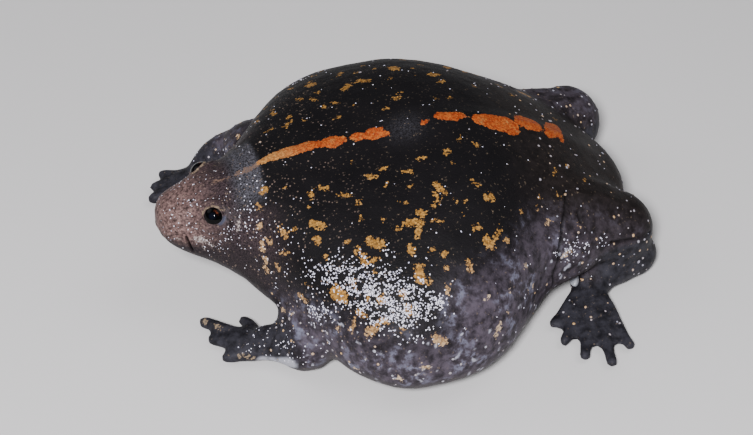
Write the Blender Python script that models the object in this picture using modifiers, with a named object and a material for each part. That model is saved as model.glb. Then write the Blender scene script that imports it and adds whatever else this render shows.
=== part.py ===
"""A Mexican burrowing toad at life size, sitting with its body puffed up.

Frame: metres, +X towards the snout, +Y to the toad's left, +Z up. The origin is
on the floor, under the middle of the flat belly. All sizes below are in
millimetres and become metres where a mesh is made.

The toad is first made as one skin of overlapping forms. The skin is fused and
then parted into named nodes that meet face to face with a small gap. The eye
sockets, nostrils and mouth line are cut into the head last.
"""

import math

import bmesh
import bpy
from mathutils import Matrix, Vector

MM = 0.001

# Driving sizes.
SNOUT_X = 39.4
RUMP_X = -39.3
NODE_GAP = 0.3
VOXEL = 0.45
SMOOTH_STEPS = 6
# Faces of the whole skin, as it is thinned for plain nodes and for detailed ones.
PLAIN_TRIANGLES = 6400
LIMB_TRIANGLES = 8600
FINE_TRIANGLES = 19000

# Trunk and head as one form: x, half width, underside, widest height, top.
BODY = (
    (39.4, 1.6, 16.2, 17.6, 18.9),
    (38.8, 3.3, 14.6, 17.3, 20.0),
    (37.0, 4.8, 12.8, 16.8, 21.1),
    (34.5, 5.9, 11.2, 16.2, 22.1),
    (31.0, 7.6, 9.6, 15.2, 23.0),
    (27.0, 11.0, 7.4, 13.6, 24.1),
    (23.0, 16.6, 4.4, 12.0, 25.2),
    (19.0, 23.8, 1.6, 10.4, 25.9),
    (14.0, 30.8, -0.4, 8.8, 26.5),
    (8.0, 35.2, -1.6, 8.0, 27.1),
    (2.0, 35.8, -1.8, 8.0, 28.0),
    (-5.0, 34.8, -1.8, 8.4, 28.8),
    (-12.0, 31.6, -1.2, 9.2, 27.6),
    (-19.0, 27.0, 0.6, 10.0, 24.8),
    (-26.0, 22.6, 2.8, 10.2, 21.0),
    (-32.0, 17.4, 4.4, 10.0, 16.6),
    (-36.3, 11.0, 5.8, 9.6, 13.1),
    (-38.6, 6.0, 7.2, 9.4, 11.4),
    (-39.3, 2.2, 8.6, 9.4, 10.4),
)
# The left flank is drawn in where it meets the folded hind leg: depth, x and reach.
LEFT_WAIST = (0.15, -19.5, 6.5)
RIDGE_RISE = 0.7
RIDGE_HALF_WIDTH = 1.8
RIDGE_ENDS = (24.0, -36.0)
RUMP_SWAY = -2.5
SIDE_FULLNESS = 0.96
BELLY_FULLNESS = 0.82
STATION_STEP = 1.2
RING_POINTS = 56

# Eyes, lids and nostrils. Each place is x and y on the skin of the head.
EYE_PLACES = {"left": (30.8, 5.7), "right": (30.9, 5.8)}
EYE_RADIUS = 1.9
EYE_SINK = 0.25
EYE_SEGMENTS, EYE_RINGS = 20, 12
LID_THICKNESS = 0.42
EYE_OPENING = 1.55
NOSTRIL_PLACE = (33.9, 2.5)
NOSTRIL_RADIUS = 0.36
NOSTRIL_RIM = 0.85

# The mouth line on one side, from under the snout to its turned-down corner:
# x and section angle.
MOUTH = (
    (39.25, -92.0),
    (39.1, -45.0),
    (38.5, -12.0),
    (37.4, 6.0),
    (36.2, 12.0),
    (35.5, 10.0),
    (35.2, 3.0),
    (35.0, -6.0),
    (34.6, -18.0),
)
MOUTH_RADIUS = 0.3
LIP_RADIUS = 0.7
LIP_OFFSET = 8.0
LIP_SINK = 0.5
LIP_POINTS = 5

# The neck is cut by a plane through this point, leaning back at the top.
NECK_X, NECK_Z = 25.0, 15.0
NECK_LEAN = 12.0

# How far the regions that part the limbs reach outside them.
REGION_REACH = 1.4

# Fore limbs: shoulder, elbow and wrist as x, y, z, radius, then the hand.
FORE = {
    "left": {
        "arm": (
            (14.0, 13.0, 10.0, 6.5),
            (17.5, 19.0, 7.4, 5.2),
            (19.8, 20.8, 4.1, 4.3),
            (22.6, 19.0, 3.6, 3.3),
            (25.2, 17.2, 2.9, 2.9),
        ),
        "knob": ((20.6, 17.2, 7.2), (3.2, 2.6, 2.2), 0.0),
        "palm": ((27.6, 16.0, 1.9), (3.9, 3.6, 1.8), -40.0),
        "fingers": (
            ((26.8, 14.2, 1.7, 1.3), (27.0, 11.6, 1.6, 1.15), (27.8, 9.6, 1.2, 1.05)),
            ((28.4, 14.6, 1.9, 1.4), (31.2, 11.4, 1.9, 1.05), (34.0, 8.6, 1.3, 1.15)),
            ((28.8, 16.0, 1.8, 1.4), (31.4, 14.4, 1.6, 1.1), (33.4, 12.8, 1.2, 1.1)),
            ((28.2, 17.6, 1.7, 1.4), (30.4, 17.6, 1.5, 1.15), (32.0, 17.4, 1.2, 1.1)),
        ),
    },
    "right": {
        "arm": (
            (14.0, -15.0, 11.0, 6.5),
            (18.0, -22.8, 9.4, 5.8),
            (21.0, -26.4, 6.4, 5.0),
            (24.8, -27.6, 5.2, 3.8),
            (27.4, -27.0, 3.4, 2.9),
        ),
        "knob": ((20.8, -21.8, 8.2), (3.2, 2.6, 2.2), 0.0),
        "palm": ((29.8, -26.6, 1.9), (3.9, 3.6, 1.8), 8.0),
        "fingers": (
            ((29.4, -24.7, 1.7, 1.3), (30.8, -22.6, 1.6, 1.15), (32.1, -21.0, 1.2, 1.05)),
            ((31.0, -25.8, 1.9, 1.4), (33.8, -25.0, 1.9, 1.05), (36.8, -24.4, 1.3, 1.15)),
            ((31.4, -27.0, 1.8, 1.4), (33.8, -27.4, 1.6, 1.1), (36.0, -27.6, 1.2, 1.1)),
            ((30.6, -28.4, 1.7, 1.4), (32.6, -29.6, 1.5, 1.15), (34.2, -30.6, 1.2, 1.1)),
        ),
    },
}

# Hind limbs, folded: thigh and shank lie together, and the tarsus runs forward
# under them from the heel to the foot, whose toes point outwards.
HIND = {
    "left": {
        "thigh": ((-18.0, 11.0, 11.6, 8.0), (-26.5, 9.9, 11.2, 7.9), (-34.3, 10.0, 8.2, 6.5)),
        "tarsus": ((-37.6, 11.4, 3.6, 3.9), (-33.4, 13.6, 3.4, 3.4), (-29.0, 15.2, 2.5, 2.6)),
        "aim": 74.0,
    },
    "right": {
        "thigh": ((-18.0, -15.0, 11.2, 8.0), (-26.8, -17.2, 9.4, 7.6), (-35.5, -20.1, 7.8, 6.3)),
        "tarsus": ((-37.4, -22.2, 3.6, 3.9), (-33.4, -24.8, 3.4, 3.4), (-28.8, -25.4, 2.5, 2.6)),
        "aim": -66.0,
    },
}
SOLE = (4.4, 3.4, 2.0)
# Toes, inner to outer: angle from the foot's line, length, radius at root and tip.
TOES = (
    (34.0, 9.5, 1.4, 1.0),
    (19.0, 12.5, 1.4, 1.0),
    (5.0, 15.0, 1.4, 1.0),
    (-9.0, 16.5, 1.4, 1.0),
    (-23.0, 13.5, 1.4, 1.0),
)
TOE_START = 1.5
TOE_HEIGHT = 1.1
WEB_EDGE = 0.8
WEB_MIDDLE = 0.72
WEB_THICKNESS = 1.3
WEB_HEIGHT = 0.9

# The digging spade on the inner edge of each foot.
SPADE_RADII = (1.9, 0.85, 0.95)
SPADE_REACH = 2.9
SPADE_SIDE = 72.0
SPADE_HEIGHT = 3.7

# A loose fold of skin along the lower flank in front of each hind leg.
FLANK_FOLD = (
    (1.0, 33.4, 4.6, 1.0),
    (-6.0, 30.8, 4.4, 1.5),
    (-13.0, 25.6, 5.4, 1.6),
    (-20.5, 19.8, 7.4, 1.2),
)

SKIN_COLOUR = (0.028, 0.020, 0.019)
SNOUT_COLOUR = (0.16, 0.085, 0.070)
HAND_COLOUR = (0.022, 0.021, 0.028)
SPADE_COLOUR = (0.30, 0.32, 0.36)
EYE_COLOUR = (0.004, 0.004, 0.005)


def clear_scene():
    for item in list(bpy.data.objects):
        bpy.data.objects.remove(item, do_unlink=True)


def new_collection(name):
    group = bpy.data.collections.new(name)
    bpy.context.scene.collection.children.link(group)
    return group


def object_from(form, name, group):
    """A new object that takes a bmesh, linked to the group."""
    mesh = bpy.data.meshes.new(name)
    form.to_mesh(mesh)
    form.free()
    made = bpy.data.objects.new(name, mesh)
    group.objects.link(made)
    return made


# Forms


def station(x):
    """Half width, underside, widest height and top of the body at x, on a smooth curve."""
    index = 0
    while index < len(BODY) - 2 and x < BODY[index + 1][0]:
        index += 1
    a, b = BODY[index], BODY[index + 1]
    before, after = BODY[max(index - 1, 0)], BODY[min(index + 2, len(BODY) - 1)]
    span = a[0] - b[0]
    t = (a[0] - x) / span
    values = []
    for k in range(1, len(a)):
        slope_a = (b[k] - before[k]) / (before[0] - b[0]) * span
        slope_b = (after[k] - a[k]) / (a[0] - after[0]) * span
        start = (2 * t**3 - 3 * t**2 + 1) * a[k] + (t**3 - 2 * t**2 + t) * slope_a
        end = (3 * t**2 - 2 * t**3) * b[k] + (t**3 - t**2) * slope_b
        values.append(start + end)
    return values


def sway(x):
    """How far the midline lies to one side: the rump turns a little to the right."""
    share = min(1.0, max(0.0, -x / -RUMP_X))
    return RUMP_SWAY * share * share * (3 - 2 * share)


def skin_point(x, degrees):
    """The body's surface at x and a section angle: 0 is left, 90 up, 270 down."""
    half_width, bottom, middle, top = station(x)
    across, up = math.cos(math.radians(degrees)), math.sin(math.radians(degrees))
    wide = SIDE_FULLNESS if up > 0 else BELLY_FULLNESS
    y = half_width * math.copysign(abs(across) ** wide, across)
    if y > 0:
        depth, middle_x, reach = LEFT_WAIST
        y *= 1 - depth * math.exp(-(((x - middle_x) / reach) ** 2))
    height = (top - middle) if up > 0 else (middle - bottom)
    z = middle + height * math.copysign(abs(up) ** wide, up)
    if up > 0:
        front = min(1.0, max(0.0, (RIDGE_ENDS[0] - x) / 8.0))
        back = min(1.0, max(0.0, (x - RIDGE_ENDS[1]) / 8.0))
        z += front * back * RIDGE_RISE * math.exp(-((y / RIDGE_HALF_WIDTH) ** 2))
    return Vector((x, y + sway(x), z))


def skin_normal(x, degrees):
    along = skin_point(x + 0.2, degrees) - skin_point(x - 0.2, degrees)
    round_it = skin_point(x, degrees + 2.0) - skin_point(x, degrees - 2.0)
    return round_it.cross(along).normalized()


def angle_at(x, y):
    """The section angle at which the upper skin lies y from the midline."""
    return math.degrees(math.acos((y / station(x)[0]) ** (1 / SIDE_FULLNESS)))


def make_body(group):
    """Trunk and head: a loft through unlike sections, closed at both ends."""
    count = math.ceil((SNOUT_X - RUMP_X) / STATION_STEP)
    form = bmesh.new()
    rings = []
    for i in range(count + 1):
        x = SNOUT_X + (RUMP_X - SNOUT_X) * i / count
        angles = [360.0 * k / RING_POINTS for k in range(RING_POINTS)]
        rings.append([form.verts.new(skin_point(x, angle) * MM) for angle in angles])
    for a, b in zip(rings, rings[1:]):
        for k in range(RING_POINTS):
            form.faces.new((a[k - 1], a[k], b[k], b[k - 1]))
    form.faces.new(rings[0])
    form.faces.new(rings[-1])
    bmesh.ops.recalc_face_normals(form, faces=form.faces)
    return object_from(form, "body", group)


def ball(name, centre, radii, turn, group):
    """An ellipsoid turned about the vertical by turn degrees."""
    form = bmesh.new()
    bmesh.ops.create_uvsphere(form, u_segments=32, v_segments=20, radius=MM)
    size = Matrix.Diagonal((*radii, 1))
    spin = Matrix.Rotation(math.radians(turn), 4, "Z")
    place = Matrix.Translation(Vector(centre) * MM)
    bmesh.ops.transform(form, matrix=place @ spin @ size, verts=form.verts)
    return object_from(form, name, group)


def box(name, centre, size, turn, group):
    """A box turned by the rotation turn."""
    form = bmesh.new()
    bmesh.ops.create_cube(form, size=MM)
    place = Matrix.Translation(Vector(centre) * MM) @ turn.to_matrix().to_4x4()
    bmesh.ops.transform(form, matrix=place @ Matrix.Diagonal((*size, 1)), verts=form.verts)
    return object_from(form, name, group)


def path_point(points, t):
    """A point on a smooth curve through the points, with t from 0 to 1."""
    spans = len(points) - 1
    i = min(int(t * spans), spans - 1)
    u = t * spans - i
    before, a, b, after = [Vector(points[min(max(j, 0), spans)]) for j in range(i - 1, i + 3)]
    return 0.5 * (
        2 * a
        + (b - before) * u
        + (2 * before - 5 * a + 4 * b - after) * u**2
        + (3 * a - before - 3 * b + after) * u**3
    )


def tube(name, points, group, steps=14, sides=3, grow=0.0):
    """A tapered tube through points of x, y, z, radius, with flat ends.

    grow makes it thicker all round and longer at both ends.
    """
    line = [path_point(points, i / steps) for i in range(steps + 1)]
    centres = [Vector(row[:3]) for row in line]
    radii = [row[3] + grow for row in line]
    centres[0] += (centres[0] - centres[1]).normalized() * grow
    centres[-1] += (centres[-1] - centres[-2]).normalized() * grow
    curve = bpy.data.curves.new(name, "CURVE")
    curve.dimensions = "3D"
    curve.bevel_depth = MM
    curve.bevel_resolution = sides
    curve.use_fill_caps = True
    spline = curve.splines.new("POLY")
    spline.points.add(steps)
    for point, centre, radius in zip(spline.points, centres, radii):
        point.co = (*(centre * MM), 1)
        point.radius = radius
    drawn = bpy.data.objects.new(name + "_curve", curve)
    group.objects.link(drawn)
    bpy.context.view_layer.update()
    graph = bpy.context.evaluated_depsgraph_get()
    mesh = bpy.data.meshes.new_from_object(drawn.evaluated_get(graph))
    form = bmesh.new()
    form.from_mesh(mesh)
    bmesh.ops.remove_doubles(form, verts=form.verts, dist=1e-6)
    bmesh.ops.recalc_face_normals(form, faces=form.faces)
    bpy.data.objects.remove(drawn)
    return object_from(form, name, group)


def limb(name, points, group):
    """A tube with round ends."""
    ends = [
        ball(f"{name}_end_{k}", row[:3], [row[3]] * 3, 0.0, group)
        for k, row in enumerate((points[0], points[-1]))
    ]
    return [tube(name, points, group), *ends]


def make_fore_limb(side, group):
    plan = FORE[side]
    pieces = limb(f"{side}_arm", plan["arm"], group)
    pieces.append(ball(f"{side}_knob", *plan["knob"], group))
    pieces.append(ball(f"{side}_palm", *plan["palm"], group))
    for n, points in enumerate(plan["fingers"]):
        pieces += limb(f"{side}_finger_{n}", points, group)
    return pieces


def mirrored(side):
    return 1 if side == "left" else -1


def toe_point(side, toe, share):
    """The point at a share of one toe's length, measured from the foot's root."""
    plan = HIND[side]
    angle = math.radians(plan["aim"] - mirrored(side) * toe[0])
    reach = TOE_START + toe[1] * share
    x, y, z, _ = plan["tarsus"][-1]
    drop = (z - TOE_HEIGHT) * min(1.0, share * 1.6)
    return Vector((x + math.cos(angle) * reach, y + math.sin(angle) * reach, z - drop))


def make_web(side, first, second, n, group):
    """The skin between two toes: two flat hulls that leave a notch in the free edge."""
    a, b = toe_point(side, first, WEB_EDGE), toe_point(side, second, WEB_EDGE)
    middle = (toe_point(side, first, WEB_MIDDLE) + toe_point(side, second, WEB_MIDDLE)) / 2
    root = toe_point(side, first, 0.0)
    pieces = []
    for k, corner in enumerate((a, b)):
        form = bmesh.new()
        for point in (root, corner, middle):
            for z in (WEB_HEIGHT - WEB_THICKNESS / 2, WEB_HEIGHT + WEB_THICKNESS / 2):
                form.verts.new(Vector((point.x, point.y, z)) * MM)
        bmesh.ops.convex_hull(form, input=form.verts)
        pieces.append(object_from(form, f"{side}_web_{n}_{k}", group))
    return pieces


def make_hind_limb(side, group):
    plan = HIND[side]
    foot = plan["tarsus"][-1]
    pieces = limb(f"{side}_thigh", plan["thigh"], group)
    pieces += limb(f"{side}_tarsus", plan["tarsus"], group)
    pieces.append(ball(f"{side}_sole", (foot[0], foot[1], 1.8), SOLE, plan["aim"], group))
    for n, toe in enumerate(TOES):
        line = [toe_point(side, toe, share) for share in (0.0, 0.45, 0.8, 1.0)]
        sizes = (toe[2], toe[2], toe[3], toe[3])
        pieces += limb(f"{side}_toe_{n}", [(*p, r) for p, r in zip(line, sizes)], group)
    for n, (a, b) in enumerate(zip(TOES, TOES[1:])):
        pieces += make_web(side, a, b, n, group)
    fold = [(x, mirrored(side) * y + sway(x), z, r) for x, y, z, r in FLANK_FOLD]
    pieces += limb(f"{side}_flank_fold", fold, group)
    return pieces


# Places on the head


def eye_frame(side):
    """The eyeball's centre and the way it looks."""
    x, y = EYE_PLACES[side]
    angle = angle_at(x, y)
    if side == "right":
        angle = 180 - angle
    look = skin_normal(x, angle)
    return skin_point(x, angle) - look * EYE_SINK, look


def nostril_frame(side):
    x, y = NOSTRIL_PLACE
    angle = angle_at(x, y)
    if side == "right":
        angle = 180 - angle
    return skin_point(x, angle), skin_normal(x, angle)


def eyeball(name, side, radius, group):
    """A ball at the eye's place, with its pole where the eye looks."""
    centre, look = eye_frame(side)
    form = bmesh.new()
    bmesh.ops.create_uvsphere(
        form, u_segments=EYE_SEGMENTS, v_segments=EYE_RINGS, radius=radius * MM
    )
    turn = look.to_track_quat("Z", "Y").to_matrix().to_4x4()
    bmesh.ops.transform(form, matrix=Matrix.Translation(centre * MM) @ turn, verts=form.verts)
    return object_from(form, name, group)


def mouth_line(side, lift, radius, sink):
    """Points along one half of the mouth, lifted by an angle towards the eye."""
    points = []
    for x, degrees in MOUTH:
        angle = degrees + lift
        if side == "right":
            angle = 180 - angle
        points.append((*(skin_point(x, angle) - skin_normal(x, angle) * sink), radius))
    return points


def make_head_forms(side, group):
    """What stands up from the head: lids, nostril rim and upper lip."""
    centre, _ = eye_frame(side)
    lid = EYE_RADIUS + NODE_GAP + LID_THICKNESS
    pieces = [ball(f"{side}_lid", centre, [lid] * 3, 0.0, group)]
    place, normal = nostril_frame(side)
    pieces.append(ball(f"{side}_rim", place - normal * 0.4, [NOSTRIL_RIM] * 3, 0.0, group))
    lip = mouth_line(side, LIP_OFFSET, LIP_RADIUS, LIP_SINK)[:LIP_POINTS]
    pieces += limb(f"{side}_lip", lip, group)
    return pieces


def make_head_cutters(side, group):
    """The eye's socket and opening, the nostril and the mouth line."""
    centre, look = eye_frame(side)
    cutters = [eyeball(f"{side}_socket", side, EYE_RADIUS + NODE_GAP, group)]
    opening = [(*(centre + look * r), EYE_OPENING + 0.12 * r) for r in (0.4, 2.0, 4.5)]
    cutters.append(tube(f"{side}_opening", opening, group, steps=4))
    place, normal = nostril_frame(side)
    inner = place - normal * 0.9 - Vector((0.5, 0, 0))
    hole = [(*inner, NOSTRIL_RADIUS * 0.7), (*(place + normal * 1.2), NOSTRIL_RADIUS)]
    cutters.append(tube(f"{side}_nostril", hole, group, steps=3))
    line = mouth_line(side, 0.0, MOUTH_RADIUS, 0.0)
    cutters.append(tube(f"{side}_mouth", line, group, steps=22, sides=1))
    return cutters


# Fusing and parting


def joined(name, pieces, group):
    """One object that holds every piece's mesh."""
    form = bmesh.new()
    for piece in pieces:
        form.from_mesh(piece.data)
        bpy.data.objects.remove(piece)
    return object_from(form, name, group)


def apply_modifiers(item):
    bpy.context.view_layer.update()
    graph = bpy.context.evaluated_depsgraph_get()
    mesh = bpy.data.meshes.new_from_object(item.evaluated_get(graph))
    item.modifiers.clear()
    item.data = mesh


def fuse(item):
    """Fuses overlapping forms into one skin and rounds the joins."""
    remesh = item.modifiers.new("fuse", "REMESH")
    remesh.mode = "VOXEL"
    remesh.voxel_size = VOXEL * MM
    smooth = item.modifiers.new("round", "SMOOTH")
    smooth.factor = 0.5
    smooth.iterations = SMOOTH_STEPS
    apply_modifiers(item)


def cut(item, others, operation="DIFFERENCE"):
    """Booleans with each of the others in turn."""
    for n, other in enumerate(others):
        step = item.modifiers.new(f"cut_{n}", "BOOLEAN")
        step.operation = operation
        step.solver = "MANIFOLD"
        step.object = other
    apply_modifiers(item)


def thinned(skin, name, triangles, group):
    """A copy of the skin with fewer faces."""
    item = skin.copy()
    item.data = skin.data.copy()
    item.name = name
    group.objects.link(item)
    thin = item.modifiers.new("thin", "DECIMATE")
    thin.ratio = triangles / (2 * len(item.data.polygons))
    apply_modifiers(item)
    return item


def keep_largest(item):
    """Keeps only the closed surface with the most faces."""
    form = bmesh.new()
    form.from_mesh(item.data)
    left = set(form.faces)
    shells = []
    while left:
        stack = [left.pop()]
        shell = []
        while stack:
            face = stack.pop()
            shell.append(face)
            for edge in face.edges:
                for near in edge.link_faces:
                    if near in left:
                        left.remove(near)
                        stack.append(near)
        shells.append(shell)
    shells.sort(key=len)
    for shell in shells[:-1]:
        bmesh.ops.delete(form, geom=shell, context="FACES")
    bmesh.ops.dissolve_degenerate(form, dist=1e-7, edges=form.edges)
    form.to_mesh(item.data)
    form.free()


def finish_node(item, colour, roughness):
    material = bpy.data.materials.new(item.name)
    material.use_nodes = True
    shader = material.node_tree.nodes["Principled BSDF"]
    shader.inputs["Base Color"].default_value = (*colour, 1)
    shader.inputs["Roughness"].default_value = roughness
    shader.inputs["Metallic"].default_value = 0.0
    item.data.materials.clear()
    item.data.materials.append(material)
    item.data.shade_smooth()


def node_from(skin, name, inside, outside, toad):
    """One node: a copy of the skin, kept inside some cutters and outside others."""
    node = skin.copy()
    node.data = skin.data.copy()
    node.name = name
    toad.objects.link(node)
    cut(node, inside, "INTERSECT")
    cut(node, outside)
    keep_largest(node)
    return node


def neck_side(name, forward, group):
    """A large box whose face is the neck's plane, in front of it or behind it."""
    reach = 120.0
    turn = Matrix.Rotation(math.radians(-NECK_LEAN), 3, "Y").to_quaternion()
    way = turn @ Vector((forward, 0, 0))
    centre = Vector((NECK_X, 0, NECK_Z)) + way * (reach / 2 + NODE_GAP / 2)
    return box(name, centre, (reach, reach, reach), turn, group)


def region(name, clusters, reach, group):
    """One closed region: the union of a hull round each cluster of balls."""
    whole = None
    for k, cluster in enumerate(clusters):
        form = bmesh.new()
        for x, y, z, radius in cluster:
            place = Matrix.Translation(Vector((x, y, z)) * MM)
            size = (radius + reach) * MM
            bmesh.ops.create_icosphere(form, subdivisions=2, radius=size, matrix=place)
        bmesh.ops.delete(form, geom=form.edges[:], context="EDGES_FACES")
        bmesh.ops.convex_hull(form, input=form.verts)
        spare = [v for v in form.verts if not v.link_faces]
        bmesh.ops.delete(form, geom=spare, context="VERTS")
        bmesh.ops.recalc_face_normals(form, faces=form.faces)
        piece = object_from(form, f"{name}_{k}", group)
        if whole is None:
            whole = piece
        else:
            cut(whole, [piece], "UNION")
    return whole


def pairs(chain):
    return list(zip(chain, chain[1:]))


def arm_region(side, grow, group):
    return region(f"{side}_arm_region", pairs(FORE[side]["arm"][:-1]), REGION_REACH + grow, group)


def hand_region(side, grow, group):
    plan = FORE[side]
    balls = [plan["arm"][-1], *(points[-1] for points in plan["fingers"])]
    return region(f"{side}_hand_region", [balls], REGION_REACH + grow, group)


def leg_region(side, grow, group):
    plan = HIND[side]
    clusters = pairs(plan["thigh"]) + pairs(plan["tarsus"][:-1])
    return region(f"{side}_leg_region", clusters, REGION_REACH + grow, group)


def foot_region(side, grow, group):
    balls = [HIND[side]["tarsus"][-1]]
    balls += [(*toe_point(side, toe, 1.0), toe[3]) for toe in TOES]
    return region(f"{side}_foot_region", [balls], REGION_REACH + grow, group)


def spade_place(side):
    """The spade's centre and its turn, on the inner edge of the foot."""
    plan = HIND[side]
    x, y, _, _ = plan["tarsus"][-1]
    turn = plan["aim"] - mirrored(side) * SPADE_SIDE
    angle = math.radians(turn)
    centre = (x + math.cos(angle) * SPADE_REACH, y + math.sin(angle) * SPADE_REACH, SPADE_HEIGHT)
    return centre, plan["aim"]


def part_skin(skin, head_cutters, toad, cutters):
    """Parts the skin into the head, torso, limbs, hands and feet."""
    plain = thinned(skin, "plain", PLAIN_TRIANGLES, cutters)
    slender = thinned(skin, "slender", LIMB_TRIANGLES, cutters)
    fine = thinned(skin, "fine", FINE_TRIANGLES, cutters)
    floor = box("floor", (0, 0, -30), (300, 300, 60), Matrix.Identity(3).to_quaternion(), cutters)
    ahead = neck_side("ahead", 1, cutters)
    behind = neck_side("behind", -1, cutters)
    nodes = {}
    body_cuts, head_cuts = [floor], head_cutters
    for side in ("left", "right"):
        where, turn = spade_place(side)
        bed = ball(f"{side}_bed", where, [r + NODE_GAP for r in SPADE_RADII], turn, cutters)
        clear = {}
        for part, make in (
            ("foreleg", arm_region),
            ("hand", hand_region),
            ("hind_leg", leg_region),
            ("foot", foot_region),
        ):
            inside = make(side, 0.0, cutters)
            outside = [floor]
            if part == "hand":
                outside.append(clear["foreleg"])
            if part == "hind_leg":
                outside.append(bed)
            if part == "foot":
                outside += [clear["hind_leg"], bed]
            clear[part] = make(side, NODE_GAP, cutters)
            source = slender if part in ("hand", "foot") else plain
            name = f"{side}_{part}"
            nodes[name] = node_from(source, name, [inside], outside, toad)
        body_cuts += [*clear.values(), bed]
        head_cuts += [clear["foreleg"], clear["hand"]]
    nodes["torso"] = node_from(plain, "torso", [behind], body_cuts, toad)
    nodes["head"] = node_from(fine, "head", [ahead], head_cuts, toad)
    return nodes


def make_spade(side, toad):
    where, turn = spade_place(side)
    form = bmesh.new()
    bmesh.ops.create_uvsphere(form, u_segments=14, v_segments=8, radius=MM)
    size = Matrix.Diagonal((*SPADE_RADII, 1))
    spin = Matrix.Rotation(math.radians(turn), 4, "Z")
    place = Matrix.Translation(Vector(where) * MM)
    bmesh.ops.transform(form, matrix=place @ spin @ size, verts=form.verts)
    return object_from(form, f"{side}_spade", toad)


def main():
    clear_scene()
    toad = new_collection("burrowing_toad")
    cutters = new_collection("cutters")
    forms = [make_body(cutters)]
    head_cutters = []
    for side in ("left", "right"):
        forms += make_fore_limb(side, cutters)
        forms += make_hind_limb(side, cutters)
        forms += make_head_forms(side, cutters)
        head_cutters += make_head_cutters(side, cutters)
    skin = joined("skin", forms, cutters)
    fuse(skin)
    nodes = part_skin(skin, head_cutters, toad, cutters)
    for name, node in nodes.items():
        colour = SNOUT_COLOUR if name == "head" else SKIN_COLOUR
        if name.endswith(("hand", "foot")):
            colour = HAND_COLOUR
        finish_node(node, colour, 0.45)
    for side in ("left", "right"):
        finish_node(eyeball(f"{side}_eye", side, EYE_RADIUS, toad), EYE_COLOUR, 0.08)
        finish_node(make_spade(side, toad), SPADE_COLOUR, 0.35)
    for item in list(cutters.objects):
        bpy.data.objects.remove(item)
    bpy.data.collections.remove(cutters)


main()
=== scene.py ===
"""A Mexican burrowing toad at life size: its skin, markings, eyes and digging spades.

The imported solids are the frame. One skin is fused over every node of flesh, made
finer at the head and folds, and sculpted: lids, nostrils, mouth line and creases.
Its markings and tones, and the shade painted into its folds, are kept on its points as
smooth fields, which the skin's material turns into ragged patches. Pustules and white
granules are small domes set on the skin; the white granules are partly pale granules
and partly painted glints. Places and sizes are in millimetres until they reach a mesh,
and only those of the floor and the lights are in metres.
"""

import math
from types import SimpleNamespace

import bmesh
import bpy
import numpy as np
from mathutils import Matrix, Vector, noise
from mathutils.bvhtree import BVHTree

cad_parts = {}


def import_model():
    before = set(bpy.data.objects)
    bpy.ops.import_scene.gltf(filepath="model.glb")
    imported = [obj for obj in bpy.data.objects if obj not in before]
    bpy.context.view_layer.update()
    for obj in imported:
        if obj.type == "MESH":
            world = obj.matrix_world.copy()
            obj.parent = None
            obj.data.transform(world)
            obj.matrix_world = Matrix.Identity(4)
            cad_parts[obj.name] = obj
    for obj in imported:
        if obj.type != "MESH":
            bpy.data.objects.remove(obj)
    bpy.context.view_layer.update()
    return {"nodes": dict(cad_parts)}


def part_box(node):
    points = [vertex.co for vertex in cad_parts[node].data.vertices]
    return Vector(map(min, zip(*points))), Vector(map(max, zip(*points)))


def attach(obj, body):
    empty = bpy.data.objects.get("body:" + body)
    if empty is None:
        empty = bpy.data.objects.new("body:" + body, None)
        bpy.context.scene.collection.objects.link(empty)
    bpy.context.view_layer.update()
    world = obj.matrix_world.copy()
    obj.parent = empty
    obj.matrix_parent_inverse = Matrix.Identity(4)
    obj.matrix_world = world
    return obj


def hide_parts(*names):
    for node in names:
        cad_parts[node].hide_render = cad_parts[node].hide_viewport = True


MM = 0.001
SIDES = ("left", "right")
LIMB_PARTS = ("foreleg", "hand", "hind_leg", "foot")
FLESH = ("head", "torso", *(f"{side}_{part}" for side in SIDES for part in LIMB_PARTS))
SEED = 7

# The camera, at the photograph's viewing angle.
CAMERA_AZIMUTH, CAMERA_ELEVATION = 166.0, 40.0
CAMERA_DISTANCE = 350.0
CAMERA_TARGET = (3.3, 0.0, 10.1)
CAMERA_LENS = 102.07

# The lights: name, azimuth, elevation, distance, width and power.
LIGHTS = (
    ("key", 158, 43, 0.5, 0.08, 3.8),
    ("fill", 60, 40, 0.6, 0.4, 0.6),
    ("top", 260, 60, 0.6, 0.4, 0.6),
)
LIGHT_TINT = (0.96, 0.95, 1.0)
SKY_TINT = (0.9, 0.92, 0.95)
SKY_STRENGTH = 0.16
FLOOR_TINT = (0.74, 0.73, 0.71)
FLOOR_HALF_WIDTH = 1.5

# The skin: how it is fused over the solids, rounded, and made finer near its features.
WELD = 1e-4
SWELL = 0.32
DRAW_BACK = 0.27
VOXEL = 0.6
ROUNDING = 0.5
ROUNDING_STEPS = 4
FINE_ROUNDING_STEPS = 4
HEAD_START = 22.5
FINE_REACH = {"eye": 3.6, "nostril": 1.3, "mouth": 0.9, "crease": 1.6}
ROUNDED_REACH = {"head": 0.5, "crease": 2.4}
FINEST_REACH = {"lid": 0.35, "nostril": 0.6, "mouth_corner": 0.5}

# Eyes: the way each one looks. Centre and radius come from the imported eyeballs, and the
# lids are measured outwards from the middle of the eye's opening.
EYE_LOOKS = {"left": (0.363, 0.701, 0.614), "right": (0.5, -0.45, 0.74)}
LID_OPENING = 1.9
LID_HEIGHT = 0.85
LID_EDGE = 1.56
LID_DEPTH = 0.3
LID_RISE = 0.1
LID_WALL = 0.14
LID_FLAT = 0.35
LID_FADE = 1.05
LID_START = (-0.3, 0.5)

# The left nostril. The slope of its pit and the middle of its rim are in radii.
NOSTRIL = (33.8, 2.4, 21.5)
NOSTRIL_NORMAL = (0.2, 0.4, 0.9)
NOSTRIL_RADIUS = 0.28
NOSTRIL_DEPTH = 0.6
NOSTRIL_SLOPE = (0.45, 1.1)
NOSTRIL_RIM = 1.8
NOSTRIL_RIM_HEIGHT, NOSTRIL_RIM_WIDTH = 0.1, 0.25
NOSTRIL_REACH = 2.0

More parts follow.
